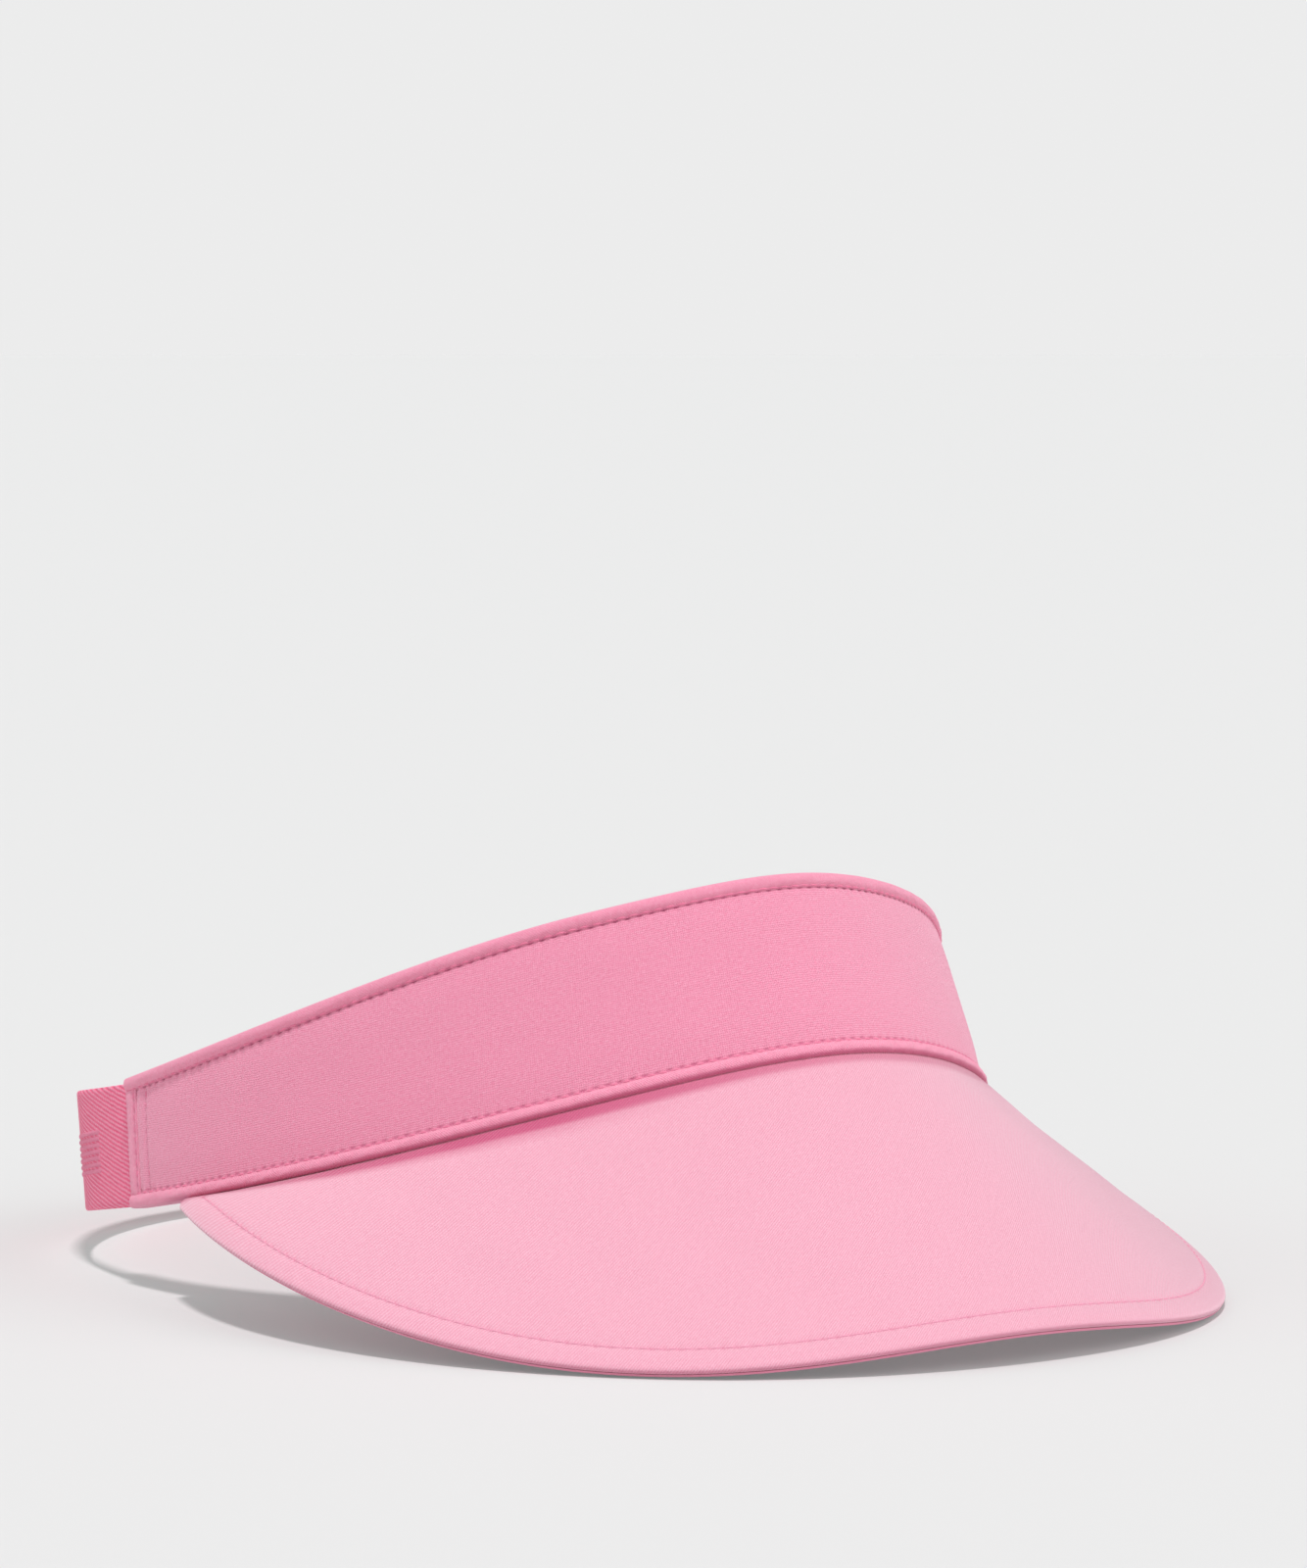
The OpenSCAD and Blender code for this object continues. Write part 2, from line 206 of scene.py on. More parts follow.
def brimTopPoint(u, t):
    u, t = np.asarray(u, float), np.asarray(t, float)
    crown = visor["crownSide"] + (visor["crownFront"] - visor["crownSide"]) * cs(visor["brimEnd"] * u)
    flat = ((1 - t)[..., None] * loopPoint(visor["brimEnd"] * u)
            + t[..., None] * rimPoint(visor["rimTurn"] * u))
    flat[..., 2] += (4 * t * (1 - t) * crown + t * 0.8 * visor["brimThick"]) * (1 - u ** 8)
    return flat

def rawBrim(u, t, depth):
    d = 0.005
    along = brimTopPoint(u + d, t) - brimTopPoint(u - d, t)
    across = brimTopPoint(u, t + d) - brimTopPoint(u, t - d)
    n = np.cross(across, along)
    n /= np.linalg.norm(n, axis=-1, keepdims=True)
    return brimTopPoint(u, t) - np.asarray(depth)[..., None] * n

def brimWidthAt(u):
    return np.linalg.norm(rimPoint(visor["rimTurn"] * u) - loopPoint(visor["brimEnd"] * u), axis=-1)

strapTop = rawWall(np.array(180.0), np.array(23.5), np.array(0.0))
middleY = (brimTopPoint(0.0, 1.0)[1] + strapTop[1]) / 2
tries = np.linspace(0, 0.8, 41)
tableZ = rawBrim(tries, np.ones(41), np.full(41, visor["brimThick"]))[:, 2].min()
shift = np.array([0, middleY, tableZ])

def wall(p, s, n):
    p, s, n = np.broadcast_arrays(np.asarray(p, float), s, n)
    return (rawWall(p, s, n) - shift) * mm

def brim(u, t, depth):
    u, t, depth = np.broadcast_arrays(np.asarray(u, float), t, depth)
    return (rawBrim(u, t, depth) - shift) * mm

# values between low and high, a pitch of millimetres apart along place(value)
def evenAlong(place, low, high, pitch):
    fine = np.linspace(low, high, 6001)
    at = place(fine) / mm
    run = np.concatenate([[0], np.cumsum(np.linalg.norm(np.diff(at, axis=0), axis=1))])
    count = max(2, int(round(run[-1] / pitch)) + 1)
    return np.interp(np.linspace(0, run[-1], count), run, fine), run[-1], (fine, run)

# a smooth unevenness from -1 to 1 over about size millimetres
def ripple(x, y, size, seed):
    own = np.random.default_rng(seed)
    total = np.zeros(np.broadcast(x, y).shape)
    for _ in range(7):
        turn, phase = own.uniform(0, 2 * np.pi, 2)
        scale = 2 * np.pi / (size * own.uniform(0.6, 1.7))
        total = total + np.sin(scale * (x * np.cos(turn) + y * np.sin(turn)) + phase)
    return total / 4.2

# how strongly painted shade darkens the cloth at each point, at stitch holes, beside stitches, in folds and
# along rims
def paintShade(item, holes):
    marks = item.data.attributes.new("paintedShade", "FLOAT", "POINT")
    marks.data.foreach_set("value", np.clip(holes, 0, 1).astype(np.float32).ravel())

def finishPiece(item, material, body, stands, angle=40):
    clearSelection()
    item.select_set(True)
    bpy.context.view_layer.objects.active = item
    bpy.ops.object.mode_set(mode="EDIT")
    bpy.ops.mesh.select_all(action="SELECT")
    bpy.ops.mesh.normals_make_consistent(inside=False)
    bpy.ops.object.mode_set(mode="OBJECT")
    bpy.ops.object.shade_smooth_by_angle(angle=math.radians(angle))
    item.data.materials.append(material)
    if body:
        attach(item, body)
    if stands:
        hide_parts(*stands)

# a closed piece through rings of points, the front half of each ring and then the back
def sheetMesh(name, rings, runU, runV):
    m, k = rings.shape[:2]
    faces, corners = [], []
    us = np.broadcast_to(np.asarray(runU, float).reshape(m, -1), (m, k))
    vs = np.concatenate([np.broadcast_to(runV, (m, k)), np.zeros((m, 1))], 1)
    vs[:, k] = 2 * vs[:, k - 1] - vs[:, k - 2]
    for i in range(m - 1):
        for j in range(k):
            n = (j + 1) % k
            faces.append((i * k + j, i * k + n, (i + 1) * k + n, (i + 1) * k + j))
            corners += [(us[i, j], vs[i, j]), (us[i, n], vs[i, j + 1]),
                        (us[i + 1, n], vs[i + 1, j + 1]), (us[i + 1, j], vs[i + 1, j])]
    for i in (0, m - 1):
        for j in range(k // 2 - 1):
            quad = [j, j + 1, k - 2 - j, k - 1 - j]
            if i == 0:
                quad.reverse()
            faces.append(tuple(i * k + q for q in quad))
            corners += [(us[i, q], vs[i, min(q, k - 1 - q)]) for q in quad]
    mesh = bpy.data.meshes.new(name)
    mesh.from_pydata([tuple(v) for v in rings.reshape(-1, 3)], [], faces)
    layer = mesh.uv_layers.new(name="cloth")
    layer.data.foreach_set("uv", np.asarray(corners, np.float32).ravel())
    item = bpy.data.objects.new(name, mesh)
    bpy.context.scene.collection.objects.link(item)
    return item

# millimetres along rings of points, from the first to each
def runOf(points):
    d = np.linalg.norm(np.diff(points, axis=0), axis=-1) / mm
    return np.concatenate([[0], np.cumsum(d)])

# one stitch, lying along x, thinner towards its ends and pressed into the cloth there
stitch = {"sides": 6, "rings": (-1.0, -0.5, 0.5, 1.0), "thinner": 0.45, "dip": 0.16}

def pickRing(item, x):
    near = 0.01
    bpy.ops.mesh.select_all(action="DESELECT")
    bpy.ops.object.mode_set(mode="OBJECT")
    for point in item.data.vertices:
        point.select = abs(point.co.x - x) < near
    bpy.ops.object.mode_set(mode="EDIT")

# modelled once, a unit to the millimetre, and then copied along every row
def stitchShape(length, thick):
    clearSelection()
    bpy.ops.mesh.primitive_cylinder_add(vertices=stitch["sides"], radius=thick / 2, depth=length,
                                        end_fill_type="NGON", rotation=(0, math.pi / 2, 0))
    item = bpy.context.object
    bpy.ops.object.transform_apply(location=False, rotation=True, scale=False)
    bpy.ops.object.mode_set(mode="EDIT")
    bpy.ops.mesh.select_mode(type="VERT")
    for cut in (-0.25, 0.0, 0.25):
        bpy.ops.mesh.select_all(action="SELECT")
        bpy.ops.mesh.bisect(plane_co=(cut * length, 0, 0), plane_no=(1, 0, 0))
    for ring in stitch["rings"]:
        x, girth = ring * length / 2, 1 - stitch["thinner"] * abs(ring) ** 3
        pickRing(item, x)
        bpy.ops.transform.resize(value=(1, girth, girth), center_override=(x, 0, 0))
        bpy.ops.transform.translate(value=(0, 0, -stitch["dip"] * ring ** 2))
    bpy.ops.object.mode_set(mode="OBJECT")
    points = np.array([tuple(point.co) for point in item.data.vertices]) * mm
    faces = [tuple(face.vertices) for face in item.data.polygons]
    bpy.data.meshes.remove(item.data)
    return points, faces

def stitchRow(name, centres, tangents, normals, length, thick, material, body, stands):
    shape, faces = stitchShape(length, thick)
    points, allFaces = [], []
    for c, x, z in zip(centres, tangents, normals):
        x = x / np.linalg.norm(x)
        z = z - x * (z @ x)
        z /= np.linalg.norm(z)
        y = np.cross(z, x)
        start = len(points) * len(shape)
        points.append(c + shape @ np.stack([x, y, z]))
        allFaces += [tuple(start + i for i in f) for f in faces]
    mesh = bpy.data.meshes.new(name)
    mesh.from_pydata([tuple(v) for v in np.concatenate(points)], [], allFaces)
    item = bpy.data.objects.new(name, mesh)
    bpy.context.scene.collection.objects.link(item)
    finishPiece(item, material, body, stands, angle=60)
    return item

# shared effects for the materials
def group(name, inputs, outputs):
    tree = bpy.data.node_groups.new(name, "ShaderNodeTree")
    for label, kind, value in inputs:
        socket = tree.interface.new_socket(name=label, in_out="INPUT", socket_type="NodeSocket" + kind)
        if value is not None:
            socket.default_value = value
    for label, kind in outputs:
        tree.interface.new_socket(name=label, in_out="OUTPUT", socket_type="NodeSocket" + kind)
    return tree, tree.nodes.new("NodeGroupInput"), tree.nodes.new("NodeGroupOutput")

def sums(tree, kind, a, b=None, c=None):
    node = tree.nodes.new("ShaderNodeMath")
    node.operation = kind
    for i, value in enumerate((a, b, c)):
        if value is None:
            continue
        if isinstance(value, (int, float)):
            node.inputs[i].default_value = value
        else:
            tree.links.new(value, node.inputs[i])
    return node.outputs[0]

# from 0 to 1 and back once in each pitch
def wave(tree, along, pitch):
    turns = sums(tree, "MULTIPLY", sums(tree, "DIVIDE", along, pitch), 2 * math.pi)
    return sums(tree, "MULTIPLY_ADD", sums(tree, "SINE", turns), 0.5, 0.5)

def noiseIn(tree, vector, scale, detail=2.0, rough=0.5, scaleSocket=None):
    node = tree.nodes.new("ShaderNodeTexNoise")
    node.inputs["Detail"].default_value = detail
    node.inputs["Roughness"].default_value = rough
    node.inputs["Scale"].default_value = scale
    if scaleSocket is not None:
        tree.links.new(scaleSocket, node.inputs["Scale"])
    tree.links.new(vector, node.inputs["Vector"])
    return node.outputs["Fac"]

def makePlainWeave():
    tree, i, o = group("plainWeave", [("Vector", "Vector", None), ("Pitch", "Float", 0.4)],
                       [("Height", "Float"), ("Tone", "Float")])
    split = tree.nodes.new("ShaderNodeSeparateXYZ")
    tree.links.new(i.outputs["Vector"], split.inputs[0])
    wobble = noiseIn(tree, i.outputs["Vector"], 0.9, 3.0)
    u = sums(tree, "MULTIPLY_ADD", wobble, 0.5, split.outputs[0])
    v = sums(tree, "MULTIPLY_ADD", wobble, -0.5, split.outputs[1])
    pu, pv = sums(tree, "DIVIDE", u, i.outputs["Pitch"]), sums(tree, "DIVIDE", v, i.outputs["Pitch"])
    su, sv = (sums(tree, "SINE", sums(tree, "MULTIPLY", x, math.pi)) for x in (pu, pv))
    au, av = sums(tree, "ABSOLUTE", su), sums(tree, "ABSOLUTE", sv)
    over = sums(tree, "ADD", sums(tree, "FLOOR", pu), sums(tree, "FLOOR", pv))
    over = sums(tree, "MULTIPLY", over, 0.5)
    over = sums(tree, "ABSOLUTE", sums(tree, "SUBTRACT", over, sums(tree, "FLOOR", over)))
    over = sums(tree, "MULTIPLY", over, 2.0)
    warp = sums(tree, "MULTIPLY", sums(tree, "POWER", au, 0.6), sums(tree, "MULTIPLY_ADD", av, 0.5, 0.5))
    weft = sums(tree, "MULTIPLY", sums(tree, "POWER", av, 0.6), sums(tree, "MULTIPLY_ADD", au, 0.5, 0.5))
    mixed = sums(tree, "ADD", sums(tree, "MULTIPLY", warp, over),
                 sums(tree, "MULTIPLY", weft, sums(tree, "SUBTRACT", 1.0, over)))
    slub = noiseIn(tree, i.outputs["Vector"], 1.6, 2.0)
    height = sums(tree, "MULTIPLY", mixed, sums(tree, "MULTIPLY_ADD", slub, 0.7, 0.6))
    tree.links.new(height, o.inputs["Height"])
    tone = sums(tree, "MULTIPLY_ADD", height, 0.4, sums(tree, "MULTIPLY", slub, 0.6))
    tree.links.new(tone, o.inputs["Tone"])
    return tree

# diagonal ribs, with the threads that cross them
def makeRibs():
    inputs = [("Vector", "Vector", None), ("Pitch", "Float", 0.8), ("Slope", "Float", 0.4),
              ("Cross Pitch", "Float", 0.3), ("Cross Share", "Float", 0.3), ("Wobble", "Float", 0.2)]
    tree, i, o = group("diagonalRibs", inputs, [("Height", "Float"), ("Tone", "Float")])
    split = tree.nodes.new("ShaderNodeSeparateXYZ")
    tree.links.new(i.outputs["Vector"], split.inputs[0])
    wobble = noiseIn(tree, i.outputs["Vector"], 0.45, 2.0)
    v = sums(tree, "MULTIPLY_ADD", split.outputs[0], i.outputs["Slope"], split.outputs[1])
    v = sums(tree, "ADD", v, sums(tree, "MULTIPLY", wobble, i.outputs["Wobble"]))
    rib = sums(tree, "POWER", wave(tree, v, i.outputs["Pitch"]), 0.7)
    slanted = sums(tree, "MULTIPLY_ADD", split.outputs[1], 0.35, split.outputs[0])
    crossing = wave(tree, slanted, i.outputs["Cross Pitch"])
    share = i.outputs["Cross Share"]
    smooth = sums(tree, "MULTIPLY", rib, sums(tree, "SUBTRACT", 1.0, share))
    crossed = sums(tree, "MULTIPLY", sums(tree, "MULTIPLY", crossing, rib), share)
    height = sums(tree, "ADD", smooth, crossed)
    tree.links.new(height, o.inputs["Height"])
    uneven = noiseIn(tree, i.outputs["Vector"], 1.1, 3.0)
    tone = sums(tree, "MULTIPLY_ADD", height, 0.75, sums(tree, "MULTIPLY", uneven, 0.25))
    tree.links.new(tone, o.inputs["Tone"])
    return tree

# slow unevenness of the dye, and the short fibres that stand out of a used cloth
def makeMottle():
    tree, i, o = group("dyeMottle", [("Vector", "Vector", None), ("Size", "Float", 0.12)],
                       [("Mask", "Float"), ("Fibre", "Float")])
    tree.links.new(noiseIn(tree, i.outputs["Vector"], 0.1, 4.0, 0.6, i.outputs["Size"]), o.inputs["Mask"])
    tree.links.new(noiseIn(tree, i.outputs["Vector"], 1.7, 4.0, 0.75), o.inputs["Fibre"])
    return tree

plainWeave, diagonalRibs, dyeMottle = makePlainWeave(), makeRibs(), makeMottle()

def putGroup(tree, what, vector, **values):
    node = tree.nodes.new("ShaderNodeGroup")
    node.node_tree = what
    tree.links.new(vector, node.inputs["Vector"])
    for label, value in values.items():
        node.inputs[label.replace("_", " ")].default_value = value
    return node

def blendColors(tree, kind, factor, a, b):
    node = tree.nodes.new("ShaderNodeMix")
    node.data_type, node.blend_type = "RGBA", kind
    for socket, value in ((node.inputs["Factor"], factor), (node.inputs["A"], a), (node.inputs["B"], b)):
        target = socket
        if socket.name in ("A", "B"):
            target = [s for s in node.inputs if s.name == socket.name and s.type == "RGBA"][0]
        if isinstance(value, tuple):
            target.default_value = (*value, 1)
        elif isinstance(value, (int, float)):
            target.default_value = value
        else:
            tree.links.new(value, target)
    return [s for s in node.outputs if s.type == "RGBA"][0]

# finish: light, deep, pattern, values for it, depth of its relief, roughness, sheen
def clothMaterial(name, finish):
    material = bpy.data.materials.new(name)
    material.use_nodes = True
    tree = material.node_tree
    surface = tree.nodes["Principled BSDF"]
    where = tree.nodes.new("ShaderNodeUVMap")
    where.uv_map = "cloth"
    vector = where.outputs["UV"]
    if finish.get("turn"):
        turned = tree.nodes.new("ShaderNodeMapping")
        turned.inputs["Rotation"].default_value = (0, 0, math.radians(finish["turn"]))
        tree.links.new(vector, turned.inputs["Vector"])
        vector = turned.outputs["Vector"]
    pattern = putGroup(tree, finish["pattern"], vector, **finish["values"])
    mottle = putGroup(tree, dyeMottle, where.outputs["UV"], Size=finish.get("mottleSize", 0.12))
    grain = finish.get("grain", 0.9)
    tone = sums(tree, "MULTIPLY_ADD", mottle.outputs["Fibre"], grain, pattern.outputs["Tone"])
    tone = sums(tree, "SUBTRACT", tone, grain / 2)
    color = blendColors(tree, "MIX", tone, finish["deep"], finish["light"])
    stained = sums(tree, "MULTIPLY", mottle.outputs["Mask"], finish.get("mottle", 0.25))
    color = blendColors(tree, "MULTIPLY", stained, color, finish.get("stain", (0.9, 0.78, 0.84)))
    # painted shade: the colour is mixed towards a dark pink wherever the shade attribute is set
    paintedShade = tree.nodes.new("ShaderNodeAttribute")
    paintedShade.attribute_name = "paintedShade"
    color = blendColors(tree, "MIX", paintedShade.outputs["Fac"], color, finish.get("hole", (0.56, 0.065, 0.18)))
    tree.links.new(color, surface.inputs["Base Color"])
    rough = sums(tree, "MULTIPLY_ADD", pattern.outputs["Height"], -0.12, finish["rough"])
    tree.links.new(rough, surface.inputs["Roughness"])
    relief = tree.nodes.new("ShaderNodeBump")
    relief.inputs["Strength"].default_value = 1.0
    relief.inputs["Distance"].default_value = finish["depth"] * mm
    height = sums(tree, "MULTIPLY_ADD", mottle.outputs["Fibre"], 0.35, pattern.outputs["Height"])
    tree.links.new(height, relief.inputs["Height"])
    tree.links.new(relief.outputs["Normal"], surface.inputs["Normal"])
    surface.inputs["Sheen Weight"].default_value = finish.get("sheen", 0.4)
    surface.inputs["Sheen Roughness"].default_value = 0.5
    surface.inputs["Sheen Tint"].default_value = (*finish.get("bloom", (1.0, 0.80, 0.87)), 1)
    surface.inputs["Specular IOR Level"].default_value = 0.2
    return material

twillWeave = {"Pitch": 0.5, "Slope": 0.9, "Cross_Pitch": 0.34, "Cross_Share": 0.35, "Wobble": 0.25}
webWeave = {"Pitch": 0.92, "Slope": 0.3, "Cross_Pitch": 1.05, "Cross_Share": 0.45, "Wobble": 0.35}
ribWeave = {"Pitch": 0.45, "Slope": 1.6, "Cross_Pitch": 0.4, "Cross_Share": 0.3, "Wobble": 0.1}
satinWeave = {"Pitch": 0.3, "Slope": 0.0, "Cross_Pitch": 0.3, "Cross_Share": 0.3, "Wobble": 0.05}
finishes = {
    "bandCotton": {"pattern": plainWeave, "values": {"Pitch": 0.42}, "depth": 0.10, "rough": 0.85,
                   "light": (0.95, 0.40, 0.555), "deep": (0.86, 0.215, 0.36), "sheen": 0.6, "grain": 1.2},
    "rollCotton": {"pattern": plainWeave, "values": {"Pitch": 0.38}, "depth": 0.10, "rough": 0.85,
                   "light": (0.98, 0.42, 0.57), "deep": (0.92, 0.25, 0.40), "turn": 45},
    "brimTwill": {"pattern": diagonalRibs, "values": twillWeave, "depth": 0.07, "rough": 0.85,
                  "light": (0.87, 0.475, 0.585), "deep": (0.77, 0.285, 0.40),
                  "sheen": 0.8, "bloom": (0.95, 0.88, 0.92), "grain": 1.2},
    "underTwill": {"pattern": diagonalRibs, "values": twillWeave, "depth": 0.07, "rough": 0.85,
                   "light": (0.95, 0.42, 0.56), "deep": (0.86, 0.27, 0.41)},
    "elasticWeb": {"pattern": diagonalRibs, "values": webWeave, "depth": 0.30, "rough": 0.8,
                   "light": (1.0, 0.42, 0.58), "deep": (0.92, 0.06, 0.19), "sheen": 0.15, "mottle": 0.2},
    "ribWeb": {"pattern": diagonalRibs, "values": ribWeave, "depth": 0.12, "rough": 0.75,
               "light": (1.0, 0.37, 0.53), "deep": (0.88, 0.17, 0.32), "sheen": 0.15, "mottle": 0.15},
    "browTerry": {"pattern": plainWeave, "values": {"Pitch": 0.8}, "depth": 0.35, "rough": 0.95,
                  "light": (0.93, 0.42, 0.56), "deep": (0.77, 0.26, 0.39), "sheen": 0.35},
    "tagSatin": {"pattern": diagonalRibs, "values": satinWeave, "depth": 0.04, "rough": 0.45,
                 "light": (0.86, 0.85, 0.83), "deep": (0.74, 0.73, 0.71), "stain": (0.95, 0.93, 0.9)},
}
cloths = {name: clothMaterial(name, finish) for name, finish in finishes.items()}

# thread, canvas and board: a pattern in the piece's own space
def solidMaterial(name, light, deep, scale, depth, rough):
    material = bpy.data.materials.new(name)
    material.use_nodes = True
    tree = material.node_tree
    surface = tree.nodes["Principled BSDF"]
    where = tree.nodes.new("ShaderNodeTexCoord")
    grain = noiseIn(tree, where.outputs["Object"], scale, 4.0, 0.6)
    tree.links.new(blendColors(tree, "MIX", grain, deep, light), surface.inputs["Base Color"])
    tree.links.new(sums(tree, "MULTIPLY_ADD", grain, -0.2, rough), surface.inputs["Roughness"])
    relief = tree.nodes.new("ShaderNodeBump")
    relief.inputs["Distance"].default_value = depth * mm
    tree.links.new(grain, relief.inputs["Height"])
    tree.links.new(relief.outputs["Normal"], surface.inputs["Normal"])
    surface.inputs["Specular IOR Level"].default_value = 0.25
    return material

threadPink = solidMaterial("threadPink", (0.92, 0.30, 0.45), (0.74, 0.15, 0.28), 4000, 0.05, 0.75)
coreCanvas = solidMaterial("coreCanvas", (0.86, 0.86, 0.83), (0.70, 0.69, 0.66), 1500, 0.10, 0.9)
brimPlastic = solidMaterial("brimPlastic", (0.88, 0.88, 0.87), (0.80, 0.80, 0.79), 300, 0.03, 0.5)
for node, material in (("band_stiffener", coreCanvas), ("brim_board", brimPlastic)):
    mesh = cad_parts[node].data
    mesh.materials.clear()
    mesh.materials.append(material)
print("materials ready")

# the band
band = {
    "end": visor["bandEnd"], "step": 0.4, "stitchPitch": 2.3, "rowAt": 2.66,
    "face": 0.7, "endRows": (3.4, 7.6), "endPitch": 2.1, "endClear": 3.3, "puffEdge": 4.0,
    "puff": 0.32, "pinch": 0.17, "pucker": 0.07, "wrinkle": 0.10,
}

# how far p lies along a row of stitches, in stitches; whole numbers are the needle's holes
def rowPhase(place, p):
    _, total, (fine, run) = evenAlong(place, -band["end"], band["end"], band["stitchPitch"])
    stitches = round(total / band["stitchPitch"])
    return np.interp(p, fine, run) / total * stitches, stitches, (fine, run, total)

bandP, bandRun, _ = evenAlong(lambda p: wall(p, 0.0, 0.0), -band["end"], band["end"], band["step"])
lowPhase, lowStitches, lowTable = rowPhase(lambda p: wall(p, band["rowAt"], 0.0), bandP)
topPhase, topStitches, topTable = rowPhase(lambda p: wall(p, bandHeight(p) - band["rowAt"], 0.0), bandP)
bandArc = runOf(wall(bandP, 0.0, 0.0))

# 1 at each needle hole, near 0 between, a little uneven from hole to hole
def holePull(phase, seed):
    own = np.random.default_rng(seed).uniform(0.6, 1.25, 4000)
    near = np.rint(phase)
    return bump((phase - near) / 0.2) * own[near.astype(int) + 1000]

lowHoles, topHoles = holePull(lowPhase, 1), holePull(topPhase, 2)

# painted shade in the gaps beside the stitches, longer than the holes themselves
def shadeDashes(phase, seed):
    own = np.random.default_rng(seed).uniform(0.75, 1.0, 4000)
    near = np.rint(phase)
    return bump((phase - near) / 0.33) * own[near.astype(int) + 1000]

lowShade, topShade = shadeDashes(lowPhase, 3), shadeDashes(topPhase, 4)

# millimetres along the wall in one degree around p
def degreeAt(p, n=0.0):
    return np.linalg.norm(np.diff(wall(np.array([p - 0.5, p + 0.5]), 0.0, n), axis=0)) / mm

# place within one stitch of an end row, 0 at its middle
def endPhase(s):
    return (s / band["endPitch"]) % 1 - 0.5

# the two rows of stitches up each end of the band
def endRowPull(arcFromEnd, s):
    total = np.zeros(np.broadcast(arcFromEnd, s).shape)
    for at in band["endRows"]:
        holes = 0.55 + 0.45 * bump(endPhase(s) / 0.22)
        total = total + bump((arcFromEnd - at) / 0.55) * holes
    return total

def buildBandFace():
    f = np.linspace(0, 1, 28)
    f = 0.5 - 0.5 * np.cos(np.pi * f) * (1 - 0.25 * np.sin(np.pi * f) ** 2)
    h = bandHeight(bandP)[:, None]
    low, high = 0.62, h - 0.62
    # close rings along the stitching
    beside = band["rowAt"] + np.array([-0.2, 0.05, 0.25, 0.42, 0.65, 1.0])
    s = np.sort(np.concatenate([low + f[None, :] * (high - low), beside + 0 * h, h - beside], 1), 1)
    arc = bandArc[:, None]
    fromEnd = np.minimum(arc, bandArc[-1] - arc)
    fromLow, fromTop = s - band["rowAt"], h - band["rowAt"] - s
    puff = band["puff"] * (1 - bump(np.clip(fromLow, 0, None) / band["puffEdge"]))
    puff = puff * (1 - bump(np.clip(fromTop, 0, None) / band["puffEdge"]))
    n = puff * ease(fromEnd / 9)
    n -= band["pinch"] * (lowHoles[:, None] * bump(fromLow / 1.1) + topHoles[:, None] * bump(fromTop / 1.1))
    for fromRow, phase, seed in ((fromLow, lowPhase, 5), (fromTop, topPhase, 6)):
        strength = 0.5 + 0.5 * ripple(arc, 0 * s, 14, seed)
        n -= (band["pucker"] * strength * np.cos(2 * np.pi * phase)[:, None]
              * np.exp(-np.clip(fromRow, 0, None) / 1.8) * (fromRow > -0.6))
    n += band["wrinkle"] * ripple(arc, s * 0.55, 17, 7) * ease(fromLow / 6) * ease(fromTop / 6)
    n -= 0.22 * endRowPull(fromEnd, s)
    n += 0.16 * bump((fromEnd - 5.5) / 1.3)
    n = np.where((fromLow < -0.3) | (fromTop < -0.3), np.minimum(n, -0.02), n)
    back = np.full_like(n, -band["face"])
    back = np.minimum(back, n - 0.4)
    back = np.maximum(back, -0.74)
    n = np.maximum(n, back + 0.12)
    rings = np.concatenate([wall(bandP[:, None], s, n), wall(bandP[:, None], s, back)[:, ::-1]], 1)
    vs = np.concatenate([s, (2 * high + 1 - s)[:, ::-1]], 1)
    item = sheetMesh("bandPanel", rings, bandArc, vs)
    # painted shade beside the stitches of both rows and between the stitches of the inner end row
    shadeAmount = (lowShade[:, None] * bump((fromLow - 0.3) / 0.26)
            + topShade[:, None] * bump((fromTop - 0.3) / 0.26)
            + 0.9 * bump((fromEnd - band["endRows"][1]) / 0.32) * (1 - bump(endPhase(s) / 0.34)))
    paintShade(item, np.concatenate([shadeAmount, 0 * shadeAmount], 1))
    finishPiece(item, cloths["bandCotton"], "crown", ["band_face"])
    return item

# outline of the rolled strip: depth from the band's edge, height over the wall
roll = {
    "outside": [(2.9, 0.04), (2.88, 0.14), (2.78, 0.19), (2.62, 0.20), (2.45, 0.28), (2.2, 0.46),
                (1.85, 0.63), (1.45, 0.73), (1.0, 0.74), (0.6, 0.64), (0.3, 0.40), (0.1, 0.02),
                (0.0, -0.6), (0.0, -1.2)],
    "edge": [(0.0, -1.9)],
    "inside": [(0.0, -2.9), (0.04, -3.45), (0.18, -3.85), (0.45, -4.1), (0.85, -4.18), (1.4, -4.16),
               (1.9, -4.05), (2.3, -3.9), (2.6, -3.95), (2.84, -3.9), (2.9, -3.72)],
}

